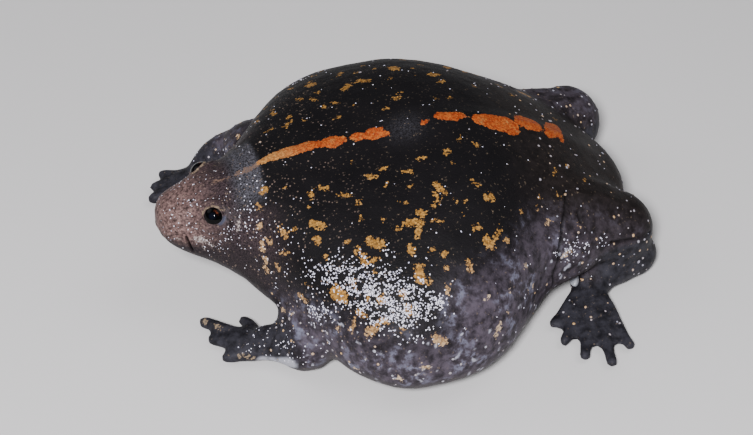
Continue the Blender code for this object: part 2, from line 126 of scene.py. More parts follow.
# The mouth line on the left: from under the snout to the cheek, then its
# turned-down corner.
MOUTH = ((39.3, 0.0, 15.8), (39.1, 2.0, 15.9), (38.4, 3.8, 16.3), (37.2, 4.7, 17.2), (36.0, 5.2, 17.3))
MOUTH_CORNER = ((35.4, 5.3, 17.1), (35.0, 5.4, 15.8), (34.7, 5.4, 14.9), (34.4, 5.4, 14.2))
MOUTH_DEPTH, CORNER_DEPTH, MOUTH_WIDTH = 0.12, 0.55, 0.13
LIP_RISE, LIP_OFFSET, LIP_WIDTH = 0.1, 0.5, 0.3

# Creases: points on them, depth and half width. Their lips rise by a share of the depth.
CREASES = (
    (((-24.7, 12.0, 19.4), (-22.7, 17.0, 17.2), (-21.5, 19.6, 14.3), (-20.3, 21.0, 10.5),
      (-20.5, 20.5, 8.0)), 0.6, 0.17),
    (((-25.9, 14.8, 17.4), (-26.0, 16.1, 16.3)), 0.3, 0.18),
    (((-31.5, 16.6, 11.3), (-35.5, 15.9, 10.6), (-39.0, 14.0, 9.8)), 0.4, 0.2),
    (((-24.5, -16.5, 19.5), (-22.5, -22.0, 17.5), (-21.0, -25.5, 15.0), (-20.0, -27.0, 11.0)), 0.5, 0.2),
    (((-32.0, -25.0, 11.2), (-36.0, -24.6, 10.4), (-39.0, -22.4, 9.8)), 0.4, 0.2),
    (((22.0, 20.6, 6.0), (23.6, 20.9, 4.4), (24.4, 20.6, 2.6)), 0.2, 0.2),
    (((24.4, 19.4, 5.4), (25.2, 19.8, 3.8), (25.6, 19.4, 2.0)), 0.15, 0.18),
    (((28.5, 7.4, 20.5), (28.7, 8.0, 19.5)), 0.3, 0.15),
)
CREASE_LIP = 0.12

# The back's stripe in its separate pieces: x, y and half width. Domes keep clear of it.
STRIPE_CLEARANCE = 0.3
STRIPE = (
    ((22.4, 0.2, 0.5), (20.0, -0.1, 1.1), (16.0, 0.0, 1.2), (14.0, -0.2, 1.2), (12.5, 0.1, 0.8),
     (10.5, 0.2, 1.5), (9.1, 0.4, 0.9)),
    ((7.1, 0.4, 0.7), (6.6, 0.5, 1.0), (5.6, 0.9, 0.6), (4.0, 0.8, 1.4), (1.9, 1.7, 0.5)),
    ((2.9, 0.5, 0.5), (2.4, 0.0, 0.3)),
    ((-4.0, 1.2, 0.6), (-4.6, 1.0, 0.4)),
    ((-6.4, 0.1, 0.6), (-7.2, 0.0, 1.0), (-9.2, 0.3, 1.1), (-10.4, -0.1, 0.8), (-11.2, 0.1, 0.4)),
    ((-13.4, 0.5, 1.2), (-15.0, 0.5, 1.7), (-17.0, 0.4, 1.8), (-18.3, 0.4, 2.1), (-19.3, 0.4, 1.0)),
    ((-21.2, -1.3, 1.2), (-22.2, -1.9, 2.0), (-23.0, -1.9, 1.9), (-23.8, -1.2, 1.0)),
    ((-25.7, -0.4, 0.7), (-26.9, -1.9, 1.5), (-27.8, -3.9, 1.4), (-28.4, -4.9, 0.8), (-28.0, -2.0, 0.8),
     (-28.1, -0.1, 0.35)),
)
# The thin line over the crown, ahead of the stripe.
CROWN_LINE = ((29.5, 0.7, 0.5), (28.6, 0.8, 0.12), (27.0, 0.8, 0.15), (25.8, 0.8, 0.45), (22.9, 0.5, 0.55))

# The larger marks, each one stroke over the back: x, y, length, turn and half width.
MARKS = (
    (-8.4, 24.2, 0.6, 120, 0.9),
    (17.0, 17.3, 0.5, -60, 0.6),
    (2.5, 19.8, 2.0, -10, 0.65),
    (1.5, -15.8, 1.6, -30, 0.6),
    (16.5, 15.2, 1.6, -40, 0.65),
    (4.5, -15.3, 1.4, 50, 0.65),
    (-4.2, -18.2, 0.8, -70, 0.8),
    (-10.5, 16.9, 0.5, 30, 0.75),
    (-4.4, 27.5, 1.2, 90, 0.45),
    (-3.0, 15.0, 2.0, 115, 0.5),
    (0.9, 18.5, 0.6, -50, 0.6),
    (11.0, 23.0, 0.8, 85, 0.5),
    (9.4, 23.6, 0.8, 10, 0.4),
    (11.5, 21.4, 0.4, 90, 0.45),
    (3.8, 23.6, 0.6, 90, 0.6),
    (0.7, 24.6, 0.4, 0, 0.4),
    (-1.0, 25.5, 0.4, 60, 0.45),
    (9.5, -20.3, 0.4, -70, 0.9),
    (24.6, 10.4, 0.3, 90, 0.45),
    (24.6, 12.4, 0.4, 90, 0.5),
    (23.7, 12.7, 0.8, 110, 0.3),
    (24.2, 7.8, 1.2, 120, 0.32),
    (21.5, 13.5, 1.6, 108, 0.45),
    (21.7, 15.7, 1.2, 140, 0.28),
    (22.9, 5.9, 0.6, 30, 0.5),
    (-6.0, 8.1, 0.9, 40, 0.45),
    (16.2, 9.8, 0.5, 80, 0.55),
    (-7.0, 22.2, 0.8, 20, 0.45),
    (2.2, 21.6, 0.7, 80, 0.5),
    (-11.5, 23.2, 0.5, 30, 0.45),
    (8.8, 21.2, 1.6, 145, 0.8),
    (-10.0, -14.5, 1.2, 20, 0.6),
    (-14.0, -20.0, 0.8, 60, 0.7),
    (12.5, -15.5, 0.6, -40, 0.45),
    (17.2, -13.5, 0.9, -80, 0.45),
    (29.2, 18.9, 2.6, -24, 0.28),
    (33.9, 9.1, 0.5, 60, 0.35),
    (32.2, 11.5, 1.2, 118, 0.28),
)
# The marks on the steep left flank, as seen from the side: x, z, length, tilt and half width.
FLANK_MARKS = (
    (15.6, 17.9, 0.8, 20, 1.1),
    (20.3, 14.5, 0.7, 20, 0.45),
    (9.7, 18.8, 0.3, 90, 0.6),
    (13.2, 19.6, 0.6, 80, 0.3),
    (12.8, 16.6, 0.4, 30, 0.6),
    (14.2, 14.6, 1.6, 110, 0.35),
    (11.7, 14.8, 1.5, 130, 0.7),
    (9.8, 16.4, 0.6, 10, 0.5),
    (5.9, 17.9, 0.8, 100, 0.45),
    (6.4, 19.4, 0.4, 60, 0.5),
    (3.4, 21.2, 0.9, 80, 0.75),
    (2.2, 20.5, 0.4, 80, 0.35),
    (-0.6, 21.5, 0.2, 0, 0.35),
    (2.1, 13.8, 1.1, 30, 0.8),
    (8.5, 7.6, 0.5, 20, 0.5),
    (4.6, 9.8, 1.0, 15, 0.45),
    (14.1, 6.6, 0.2, 0, 0.4),
    (22.7, 9.3, 0.2, 0, 0.35),
    (24.4, 17.0, 0.3, 80, 0.42),
    (24.5, 15.3, 0.7, 63, 0.42),
    (23.0, 16.8, 0.5, 60, 0.3),
)

# Small marks at random: how many are tried, where, and their half width. They keep clear
# of each other, of the back's middle and of the ground, and some are lost on the rump.
SMALL_MARKS = 260
SMALL_MARK_X, SMALL_MARK_Y = (-30, 22), (-33, 33)
SMALL_MARK_SIZES = (0.2, 0.45)
SMALL_MARK_STEP = 0.35
SMALL_MARK_CLEARANCE = 1.9
BARE_MIDDLE, BARE_FOOT = 5, 6
RUMP_START, RUMP_LOSS = -12, 0.5

# Soft pale spots low on both flanks, at random: how many, where, and their radius.
PALE_SPOTS = 190
PALE_SPOT_X, PALE_SPOT_Z = (-26, 21), (3.5, 14.5)
PALE_SPOT_SIZES = (0.2, 0.46)

# The pale patches behind the corner of the mouth, on the lip and on the cheek, with their
# half widths.
PALE_LIPS = (
    (((34.0, 6.0, 17.0), (32.6, 6.7, 16.7)), 0.75),
    (((32.2, 7.0, 16.3), (31.6, 7.2, 16.0)), 0.45),
    (((33.3, 6.5, 15.3), (33.0, 6.6, 15.1)), 0.35),
    (((36.8, 4.9, 16.5), (36.5, 5.0, 16.5)), 0.35),
    (((27.5, 7.9, 20.7), (27.7, 8.6, 19.6)), 0.5),
)

# The pale heel of the left hand, and of the right one as its mirror image.
PALM = ((26.8, 20.3, 1.3), (24.8, 21.8, 2.0), (23.0, 23.2, 3.2))

# What the fields of marks say where there are none.
FAR_OUTSIDE = -3.0

# White granules, partly pale granules and partly painted glints: the middle of each cluster,
# its reach and how many to a square millimetre.
GRANULE_CLUSTERS = (
    ((18.6, 20.6, 18.8), 1.5, 4.5),
    ((15.8, 22.6, 19.6), 2.2, 8.0),
    ((13.0, 25.4, 19.2), 2.6, 11.0),
    ((10.6, 27.6, 19.0), 2.8, 12.0),
    ((8.4, 29.6, 18.2), 2.8, 12.0),
    ((5.6, 30.8, 18.2), 2.8, 11.0),
    ((2.2, 31.0, 18.4), 1.9, 7.0),
    ((10.4, 30.4, 16.6), 1.6, 7.0),
    ((6.4, 32.4, 15.6), 1.6, 7.0),
    ((13.0, 24.0, 21.2), 2.4, 3.0),
    ((7.5, 26.0, 21.4), 2.6, 3.0),
    ((18.8, 23.3, 12.8), 1.3, 10.0),
    ((17.4, 25.4, 14.6), 1.2, 8.0),
    ((-23.8, 19.2, 13.8), 1.5, 5.0),
    ((-26.6, 18.2, 13.6), 1.3, 2.6),
    ((-29.4, 17.2, 12.2), 1.1, 4.5),
    ((-21.0, 19.8, 14.0), 0.8, 3.0),
    ((27.5, 19.0, 3.6), 2.4, 2.0),
    ((22.5, 23.0, 6.0), 2.4, 2.0),
    ((25.0, 10.5, 20.5), 3.4, 0.9),
    ((10.0, -29.0, 18.0), 3.4, 3.0),
    ((2.5, -30.5, 16.0), 2.4, 3.0),
    ((22.0, 15.0, 19.0), 4.0, 0.8),
    ((33.6, 3.0, 21.3), 0.9, 3.0),
    ((36.0, 1.5, 20.0), 3.2, 0.8),
    ((36.5, 4.0, 18.0), 2.6, 0.9),
    ((27.5, 7.0, 21.0), 3.5, 1.6),
    ((34.0, -3.0, 21.0), 3.0, 1.0),
    ((32.5, 6.0, 20.0), 2.6, 1.6),
    ((31.0, 7.6, 17.5), 2.4, 1.6),
)
GRANULE_SPREAD = 0.035
GRANULE_SPACING = 0.25
GRANULE_SIZES = (0.07, 0.15)
FLANK_GRANULE_SIZES = (0.08, 0.175)
HEAD_GRANULE_SIZES = (0.05, 0.12)
EYE_CLEARANCE = 2.7
MOUTH_CLEARANCE = 0.5

# Pustules: round warts with pale tips, spaced over the rump, thighs and low flank.
PUSTULE_SPACING = 1.5
PUSTULE_SIZES = (0.15, 0.36)

# The domes' height, how deep they are sunk and their longest stretch, in radii, and how
# finely their balls are divided.
GRANULE_DOMES = {"height": 0.8, "sink": 0.3, "longest": 1.6, "subdivisions": 1}
PUSTULE_DOMES = {"height": 0.8, "sink": 0.35, "longest": 1.25, "subdivisions": 2}

# The spades: their long axes, as turns about the vertical, and their half sizes along,
# across and up.
SPADE_AIMS = {"left": 74.0, "right": -66.0}
SPADE_HALF_SIZES = (1.9, 0.85, 0.95)

# Where lines towards the skin start, well outside it, and the toad's rough middle height
# and half width, for a line that misses it.
OUTSIDE = 60.0
MIDDLE_HEIGHT = 14.0
HALF_WIDTH = 30.0


def on_side(point, side):
    """A left-side place as it is on the side named."""
    x, y, z = point
    return Vector((x, y if side == "left" else -y, z))


def line_on_side(line, side):
    return [on_side(p, side) for p in line]


# Meshes


def object_from(form, name):
    """A new object that takes a bmesh, shaded smooth."""
    mesh = bpy.data.meshes.new(name)
    form.to_mesh(mesh)
    form.free()
    mesh.shade_smooth()
    made = bpy.data.objects.new(name, mesh)
    bpy.context.scene.collection.objects.link(made)
    return made


def apply_modifiers(item):
    bpy.context.view_layer.update()
    graph = bpy.context.evaluated_depsgraph_get()
    mesh = bpy.data.meshes.new_from_object(item.evaluated_get(graph))
    item.modifiers.clear()
    item.data = mesh


def read_rows(items, name):
    """A three-part value of every point or face as rows of an array."""
    flat = np.empty(len(items) * 3)
    items.foreach_get(name, flat)
    return flat.reshape(-1, 3)


def read_points(mesh):
    """Every point of a mesh, in millimetres."""
    return read_rows(mesh.vertices, "co") / MM


def read_normals(mesh):
    return read_rows(mesh.vertex_normals, "vector")


def write_points(mesh, points):
    mesh.vertices.foreach_set("co", (points * MM).ravel())
    mesh.update()


def write_field(mesh, name, values):
    """Keeps one number for each point, for the material to read."""
    field = mesh.attributes.new(name, "FLOAT", "POINT")
    field.data.foreach_set("value", values.astype(np.float32))


# Measures on the skin


def bell(distance, width):
    return np.exp(-((distance / width) ** 2))


def ramp(values, start, end):
    """0 before start, 1 after end, and smooth between them."""
    t = np.clip((values - start) / (end - start), 0.0, 1.0)
    return t * t * (3 - 2 * t)


def distance_from(points, place):
    return np.linalg.norm(points - np.array(place), axis=1)


def line_distance(points, line, widths=None):
    """How far each point is from a line of several stretches.

    With a half width for each of the line's points, it is how far inside the
    line's edge each point is, and negative outside.
    """
    best = np.full(len(points), np.inf if widths is None else -np.inf)
    for k in range(len(line) - 1):
        a, b = np.array(line[k]), np.array(line[k + 1])
        span = b - a
        t = np.clip((points - a) @ span / max(span @ span, 1e-9), 0.0, 1.0)
        away = np.linalg.norm(points - a - t[:, None] * span, axis=1)
        if widths is None:
            best = np.minimum(best, away)
        else:
            best = np.maximum(best, widths[k] + (widths[k + 1] - widths[k]) * t - away)
    return best


def rough(points, size, seed):
    """Smooth random relief from -1 to 1 with bumps of about the given size."""
    shift = Vector((seed * 17.3, seed * 5.1, seed * 9.7))
    return np.array([noise.noise(Vector(p) / size + shift) for p in points])


def eye_axes(look):
    """Up and forward for an eye, both square to the way it looks."""
    up = (Vector((0, 0, 1)) - look * look.z).normalized()
    forward = up.cross(look)
    return up, forward * math.copysign(1.0, forward.x)


def around_eye(points, eye):
    """Each point from the eye's centre, how far it is ahead, and how far across the opening.

    The opening is a little lower than it is wide, so heights count for more.
    """
    centre, _, look = eye
    out = points - np.array(centre)
    up, forward = eye_axes(look)
    ahead = out @ np.array(look)
    across = np.hypot(out @ np.array(forward), out @ np.array(up) / LID_HEIGHT)
    return out, ahead, across


# The skin's form


def fuse_flesh(nodes):
    """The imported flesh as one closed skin: swelled until its gaps close, then fused."""
    form = bmesh.new()
    for name in FLESH + tuple(f"{side}_eye" for side in SIDES):
        form.from_mesh(nodes[name].data)
    bmesh.ops.remove_doubles(form, verts=form.verts, dist=WELD * MM)
    form.normal_update()
    for vert in form.verts:
        vert.co += vert.normal * SWELL * MM
    skin = object_from(form, "toad_skin")
    remesh = skin.modifiers.new("fuse", "REMESH")
    remesh.mode = "VOXEL"
    remesh.voxel_size = VOXEL * MM
    smooth = skin.modifiers.new("round", "SMOOTH")
    smooth.factor = ROUNDING
    smooth.iterations = ROUNDING_STEPS
    apply_modifiers(skin)
    write_points(skin.data, read_points(skin.data) - read_normals(skin.data) * DRAW_BACK)
    return skin


def split_faces(form, near):
    """Splits the edges of every face whose middle passes the test."""
    faces = list(form.faces)
    middles = np.array([face.calc_center_median() / MM for face in faces])
    edges = {edge for face, chosen in zip(faces, near(middles)) if chosen for edge in face.edges}
    bmesh.ops.subdivide_edges(form, edges=list(edges), cuts=1, use_grid_fill=True)


def eye_places():
    """The centre, radius and look of each eyeball."""
    places = {}
    for side in SIDES:
        low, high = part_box(f"{side}_eye")
        centre = (low + high) / 2 / MM
        places[side] = (centre, (high - low).x / 2 / MM, Vector(EYE_LOOKS[side]).normalized())
    return places


def mouth_lines(side):
    return [line_on_side(line, side) for line in (MOUTH, MOUTH_CORNER)]


def near_creases(points, reach):
    near = np.zeros(len(points), bool)
    for line, _, _ in CREASES:
        near |= line_distance(points, line) < reach
    return near


def refine(skin, eyes):
    """Smaller faces on the head, and again at the eyes, nostrils, mouth and creases."""

    def on_head(p):
        return p[:, 0] > HEAD_START

    def near_feature(p):
        near = near_creases(p, FINE_REACH["crease"])
        for side in SIDES:
            near |= distance_from(p, eyes[side][0]) < FINE_REACH["eye"]
            near |= distance_from(p, on_side(NOSTRIL, side)) < FINE_REACH["nostril"]
            for line in mouth_lines(side):
                near |= line_distance(p, line) < FINE_REACH["mouth"]
        return near

    def near_rim(p):
        near = np.zeros(len(p), bool)
        for side in SIDES:
            _, ahead, across = around_eye(p, eyes[side])
            near |= (ahead > 0) & (np.abs(across - LID_OPENING) < FINEST_REACH["lid"])
            near |= distance_from(p, on_side(NOSTRIL, side)) < FINEST_REACH["nostril"]
            near |= line_distance(p, mouth_lines(side)[1]) < FINEST_REACH["mouth_corner"]
        return near

    form = bmesh.new()
    form.from_mesh(skin.data)
    split_faces(form, on_head)
    split_faces(form, near_feature)
    form.verts.ensure_lookup_table()
    places = np.array([vert.co / MM for vert in form.verts])
    finer = places[:, 0] > HEAD_START - ROUNDED_REACH["head"]
    finer |= near_creases(places, ROUNDED_REACH["crease"])
    rounded = [form.verts[k] for k in np.flatnonzero(finer)]
    for _ in range(FINE_ROUNDING_STEPS):
        bmesh.ops.smooth_vert(
            form, verts=rounded, factor=ROUNDING, use_axis_x=True, use_axis_y=True, use_axis_z=True
        )
    split_faces(form, near_rim)
    form.to_mesh(skin.data)
    form.free()
    skin.data.shade_smooth()


def shape_eyes(points, eyes):
    """Draws the skin under each eyeball and raises a lid around the opening."""
    for eye in eyes.values():
        _, radius, _ = eye
        out, ahead, across = around_eye(points, eye)
        reach = np.linalg.norm(out, axis=1)
        wall = ramp(across, LID_OPENING - LID_WALL / 2, LID_OPENING + LID_WALL / 2)
        lid = radius - LID_DEPTH + (LID_DEPTH + LID_RISE) * wall
        share = 1 - ramp(across, LID_OPENING + LID_FLAT, LID_OPENING + LID_FADE)
        share *= ramp(ahead, *LID_START)
        target = reach + (lid - reach) * share
        points += out * ((target / reach) - 1)[:, None]


def shape_nostrils(points):
    """Sinks a pit with a low rim at each nostril."""
    slope_start, slope_end = (NOSTRIL_RADIUS * share for share in NOSTRIL_SLOPE)
    for side in SIDES:
        normal = np.array(on_side(NOSTRIL_NORMAL, side))
        out = points - np.array(on_side(NOSTRIL, side))
        deep = out @ normal
        across = np.linalg.norm(out - deep[:, None] * normal, axis=1)
        near = np.abs(deep) < NOSTRIL_REACH
        pit = NOSTRIL_DEPTH * (1 - ramp(across, slope_start, slope_end))
        rim = NOSTRIL_RIM_HEIGHT * bell(across - NOSTRIL_RADIUS * NOSTRIL_RIM, NOSTRIL_RIM_WIDTH)
        points += normal * ((rim - pit) * near)[:, None]


def laid_line(tree, line):
    """A line's points moved to the nearest places on the skin."""
    return [tree.find_nearest(Vector(p))[0] for p in line]


def shape_mouth(points, normals, tree):
    """Presses the mouth line into the skin, deepest at its corner, between low lips."""
    for side in SIDES:
        for line, depth in zip(mouth_lines(side), (MOUTH_DEPTH, CORNER_DEPTH)):
            away = line_distance(points, laid_line(tree, line))
            lip = LIP_RISE * bell(away - LIP_OFFSET, LIP_WIDTH)
            points += normals * (lip - depth * bell(away, MOUTH_WIDTH))[:, None]


def shape_creases(points, normals, tree):
    """Presses each crease into the skin and raises its lips a little."""
    for line, depth, width in CREASES:
        away = line_distance(points, laid_line(tree, line))
        lift = CREASE_LIP * depth * bell(away - 3 * width, 2 * width) - depth * bell(away, width)
        points += normals * lift[:, None]


# The skin's fields


def drawn_on_back(points, line):
    """How far inside a line drawn over the back each point is."""
    return line_distance(points[:, :2], [p[:2] for p in line], [p[2] for p in line])


def stripe_inside(points):
    return np.max([drawn_on_back(points, piece) for piece in STRIPE], axis=0)


def fold_shade(points, tree):
    """Painted shade: 1 in the bottom of each crease, mouth corner and nostril, fading to 0 beside it."""
    lines = [(line, 1.7 * width, min(1.0, 2 * depth)) for line, depth, width in CREASES]
    for side in SIDES:
        mouth, corner = mouth_lines(side)
        lines.append((mouth, MOUTH_WIDTH, 0.55))
        lines.append((corner, 1.6 * MOUTH_WIDTH, 1.0))
        lines.append(([on_side(NOSTRIL, side)] * 2, NOSTRIL_RADIUS, 1.0))
    shade = np.zeros(len(points))
    for line, width, strength in lines:
        away = line_distance(points, laid_line(tree, line))
        shade = np.maximum(shade, strength * bell(away, width))
    return shade


def laid_on_skin(tree, start, way, instead):
    """Where a line first meets the skin, or else the skin's nearest place to another point."""
    place = tree.ray_cast(start, way)[0]
    return place if place is not None else tree.find_nearest(instead)[0]


def laid_on_back(tree, x, y):
    """The place on the skin straight under a point over the back."""
    return laid_on_skin(
        tree, Vector((x, y, OUTSIDE)), Vector((0, 0, -1)), Vector((x, y, MIDDLE_HEIGHT))
    )


def laid_on_flank(tree, x, z, side="left"):
    """The place on the skin straight in from one side."""
    start, way, instead = line_on_side(((x, OUTSIDE, z), (0, -1, 0), (x, HALF_WIDTH, z)), side)
    return laid_on_skin(tree, start, way, instead)


def mark_strokes(tree, draw):
    """Both ends and the half width of every mark: the larger ones, then small ones at random."""
    strokes = []
    for marks, laid in ((MARKS, laid_on_back), (FLANK_MARKS, laid_on_flank)):
        for x, other, length, turn, width in marks:
            angle = math.radians(turn)
            reach = Vector((math.cos(angle), math.sin(angle))) * length / 2
            ends = [laid(tree, x + reach.x * k, other + reach.y * k) for k in (-1, 1)]
            strokes.append((*ends, width))
    for _ in range(SMALL_MARKS):
        x, y = draw.uniform(*SMALL_MARK_X), draw.uniform(*SMALL_MARK_Y)
        place = laid_on_back(tree, x, y)
        crowded = any((place - start).length < SMALL_MARK_CLEARANCE for start, _, _ in strokes)
        if crowded or abs(y) < BARE_MIDDLE or place.z < BARE_FOOT:
            continue
        if draw.random() < RUMP_LOSS * (x < RUMP_START):
            continue
        step = Vector(draw.normal(0, SMALL_MARK_STEP, 3))
        strokes.append((place - step, place + step, draw.uniform(*SMALL_MARK_SIZES)))
    return strokes


def spot_field(points, tree, draw):
    """1 in the middle of each soft pale spot, fading to 0 at its edge."""
    best = np.zeros(len(points))
    for _ in range(PALE_SPOTS):
        side = SIDES[draw.integers(2)]
        place = laid_on_flank(tree, draw.uniform(*PALE_SPOT_X), draw.uniform(*PALE_SPOT_Z), side)
        radius = draw.uniform(*PALE_SPOT_SIZES)
        best = np.maximum(best, bell(distance_from(points, place), radius))
    return best


def lips_field(points):
    """1 in the middle of each pale patch of the lips and cheeks, fading to 0 at its edge."""
    best = np.zeros(len(points))
    for line, width in PALE_LIPS:
        for side in SIDES:
            away = line_distance(points, line_on_side(line, side))
            best = np.maximum(best, bell(away, width))
    return best


def eye_ring(points, eye):
    """The lid's tan edge, above and ahead of the eye, and the pale membrane behind it."""
    out, ahead, across = around_eye(points, eye)
    up, forward = eye_axes(eye[2])
    rise, lead = out @ np.array(up), out @ np.array(forward)
    size = np.maximum(np.hypot(rise, lead), 0.1)
    over = (0.9 * rise + 0.43 * lead) / size
    behind = (-0.35 * rise - 0.94 * lead) / size
    edge = bell(across - LID_EDGE - 0.2, 0.25) + 0.4 * bell(across - LID_EDGE - 0.75, 0.12)
    tan = edge * (ahead > 0) * ramp(over, 0.0, 0.45) * (1 - ramp(behind, 0.55, 0.8))
    pale = bell(across - LID_EDGE - 0.2, 0.22) * (ahead > 0) * ramp(behind, 0.8, 0.97)
    return tan, pale


def paint_fields(skin, eyes, painted_fold_shade, tree, draw):
    """Keeps the markings and tones of the skin, and the shade painted into its folds, as fields on its
    points.
    """
    mesh = skin.data
    points, normals = read_points(mesh), read_normals(mesh)
    x, y, z = points.T
    side_on = np.abs(y)
    above = normals[:, 2] > 0.15
    mark = np.full(len(points), FAR_OUTSIDE)
    for start, end, width in mark_strokes(tree, draw):
        mark = np.maximum(mark, line_distance(points, (start, end), (width, width)))
    lid, membrane = np.maximum(*(eye_ring(points, eye) for eye in eyes.values()))
    # The head, the nape and the grey patch on the middle of the back.
    cheek = 5.0 * ramp(side_on, 6.0, 10.0)
    nape = ramp(x + 0.21 * (z - 15.0), 24.4, 25.0) * (1 - ramp(x, 25.5, 28.5))
    nape *= 1 - ramp(side_on, 5.0, 8.5)
    nape *= ramp(z, 17.0, 20.5)
    grey_back_patch = 0.32 * above * bell(np.hypot(x + 1.0, y - 0.8), 3.0)
    # The limbs, and the flanks between them.
    inwards = 3.0 * ramp(x, 27.0, 30.0)
    hand = ramp(x, 20.5, 24.0) * (1 - ramp(z, 7.0, 10.0)) * ramp(side_on, 9.0 - inwards, 11.0 - inwards)
    foot = (1 - ramp(z, 3.5, 5.0)) * (1 - ramp(x, -19.0, -17.0)) * ramp(side_on, 14.0, 18.0)
    shank = (1 - ramp(z, 9.4, 10.4)) * (1 - ramp(x, -31.0, -28.0))
    palm = np.minimum(*(line_distance(points, line_on_side(PALM, side)) for side in SIDES))
    low = 1 - ramp(z, 9.0, 18.0)
    rear_low = (1 - ramp(x, -3.0, 3.5)) * (1 - ramp(z, 17.0, 23.0))
    flank = np.maximum(low, rear_low) * ramp(side_on, 11.0, 20.0) * (1 - hand)
    flank *= 0.65 + 0.35 * ramp(x, -24.0, -16.0)
    fields = {
        "stripe": np.where(above, stripe_inside(points), FAR_OUTSIDE),
        "crown": np.where(above, drawn_on_back(points, CROWN_LINE), FAR_OUTSIDE),
        "painted_fold_shade": painted_fold_shade,
        "mark": mark,
        "lid": lid,
        "membrane": membrane,
        "face": ramp(x, 24.5 - cheek, 29.0 - 0.6 * cheek) * ramp(z, 9.0, 13.0),
        "snout": ramp(x, 28.5, 36.0) * ramp(z, 14.5, 17.5),
        "lips": lips_field(points),
        "nape": nape + grey_back_patch,
        "spot": spot_field(points, tree, draw),
        "limb": np.maximum(np.maximum(hand, foot), shank),
        "palm": 1 - ramp(palm, 0.8, 1.5),
        "flank": flank,
        "rump": 1 - ramp(x, -24.0, -13.0),
        "under": 1 - ramp(normals[:, 2], -0.6, -0.1),
    }
    for name, values in fields.items():
        write_field(mesh, name, values)


def make_skin(nodes, eyes, draw):
    skin = fuse_flesh(nodes)
    refine(skin, eyes)
    mesh = skin.data
    points, normals = read_points(mesh), read_normals(mesh)
    tree = BVHTree.FromPolygons(
        [Vector(p) for p in points], [tuple(face.vertices) for face in mesh.polygons]
    )
    # The shade painted into the creases, mouth corners and nostrils, measured before they are pressed in.
    painted_fold_shade = fold_shade(points, tree)
    shape_creases(points, normals, tree)
    # Soft dents, which are calmer on the snout.
    relief = 0.07 * rough(points, 5.0, 1) + 0.05 * rough(points, 1.6, 2)
    calm = 1 - 0.7 * ramp(points[:, 0], 26.0, 32.0)
    points += normals * (relief * calm)[:, None]
    shape_mouth(points, normals, tree)
    shape_eyes(points, eyes)
    shape_nostrils(points)
    points[:, 2] = np.maximum(points[:, 2], 0.0)
    write_points(mesh, points)
    paint_fields(skin, eyes, painted_fold_shade, tree, draw)
    return skin


# Pustules, and white granules that are partly painted glints


def scatter(mesh, crowding, spacing, draw, *more):
    """Random places on the skin with their normals.

    crowding says how many there are to a square millimetre at each place. It takes the
    faces' middles and normals, and what else is handed in.
    """
    middles = read_rows(mesh.polygons, "center") / MM
    normals = read_rows(mesh.polygons, "normal")
    areas = np.empty(len(mesh.polygons))
    mesh.polygons.foreach_get("area", areas)
    areas /= MM * MM
    numbers = draw.poisson(crowding(middles, normals, *more) * areas)
    chosen = np.repeat(np.arange(len(areas)), numbers)
    steps = draw.uniform(-0.5, 0.5, (len(chosen), 3)) * np.sqrt(areas[chosen])[:, None]
    ways = normals[chosen]
    steps -= ways * np.sum(steps * ways, axis=1)[:, None]
    kept, taken = [], set()
    for place, way in zip(middles[chosen] + steps, ways):
        cell = tuple(np.floor(place / spacing).astype(int))
        if cell not in taken:
            taken.add(cell)
            kept.append((Vector(place), Vector(way)))
    return kept


def make_domes(name, places, sizes, tints, draw, height, sink, longest, subdivisions):
    """Small domes sunk in the skin, all in one mesh.

    Each point keeps how high it stands on its dome, and each dome a tint of its own.
    """
    form = bmesh.new()
    tips = form.verts.layers.float.new("tip")
    hues = form.verts.layers.float.new("tint")
    for place, way in places:
        radius = draw.uniform(*sizes(place))
        hue = tints(draw)
        spin = Matrix.Rotation(draw.uniform(0, math.pi), 4, "Z")
        turn = way.to_track_quat("Z", "Y").to_matrix().to_4x4() @ spin
        spot = Matrix.Translation((place - way * radius * sink) * MM) @ turn
        shape = spot @ Matrix.Diagonal((draw.uniform(1, longest), 1, height, 1))
        made = bmesh.ops.create_icosphere(
            form, subdivisions=subdivisions, radius=radius * MM, matrix=shape
        )
        for vert in made["verts"]:
            up = (vert.co / MM - place).dot(way) / (radius * (height - sink))
            vert[tips] = min(1.0, max(0.0, up))
            vert[hues] = hue
    return object_from(form, name)


def granule_crowding(points, normals, eyes):
    """Dense in clusters that break up into clumps, and sparse over the back and head. The granules are
    partly painted glints.
    """
    crowd = np.zeros(len(points))
    for middle, reach, share in GRANULE_CLUSTERS:
        crowd += share * bell(distance_from(points, middle), reach)
    x, y, z = points.T
    crowd = np.where(crowd > 0.02, crowd, 0.0)
    busy = crowd > 0
    clumps = np.zeros(len(points))
    stretched = points[busy] * np.array((0.55, 1.0, 1.0))
    clumps[busy] = np.clip(1.0 + 2.3 * rough(stretched, 1.0, 5), 0.0, 2.0)
    spread = GRANULE_SPREAD * (normals[:, 2] > -0.1) * (z > 4) * (1 + 1.5 * ramp(x, 8.0, 26.0))
    clear = stripe_inside(points) < -STRIPE_CLEARANCE
    for side, (centre, _, _) in eyes.items():
        clear &= distance_from(points, centre) > EYE_CLEARANCE
        clear &= line_distance(points, mouth_lines(side)[1]) > MOUTH_CLEARANCE
    return (crowd * clumps + spread) * clear


def pustule_crowding(points, normals):
    """Thickest on the forearms and the rump, thinner low on the flanks, and none on the head."""
    x, y, z = points.T
    side_on = np.abs(y)
    rump = 1 - ramp(x, -26.0, -16.0)
    low = (1 - ramp(z, 9.0, 15.0)) * ramp(side_on, 18.0, 24.0)
    arm = ramp(x, 12.0, 18.0) * (1 - ramp(z, 9.0, 13.0)) * ramp(side_on, 14.0, 18.0)
    arm *= 1 - ramp(x, 24.0, 27.0)
    crowd = 0.15 * rump + 0.11 * low + 0.34 * arm + 0.005
    clear = stripe_inside(points) < -STRIPE_CLEARANCE
    return crowd * clear * (normals[:, 2] > -0.35) * (z > 2.0) * (x < 27)


def pustule_size(place):
    return PUSTULE_SIZES


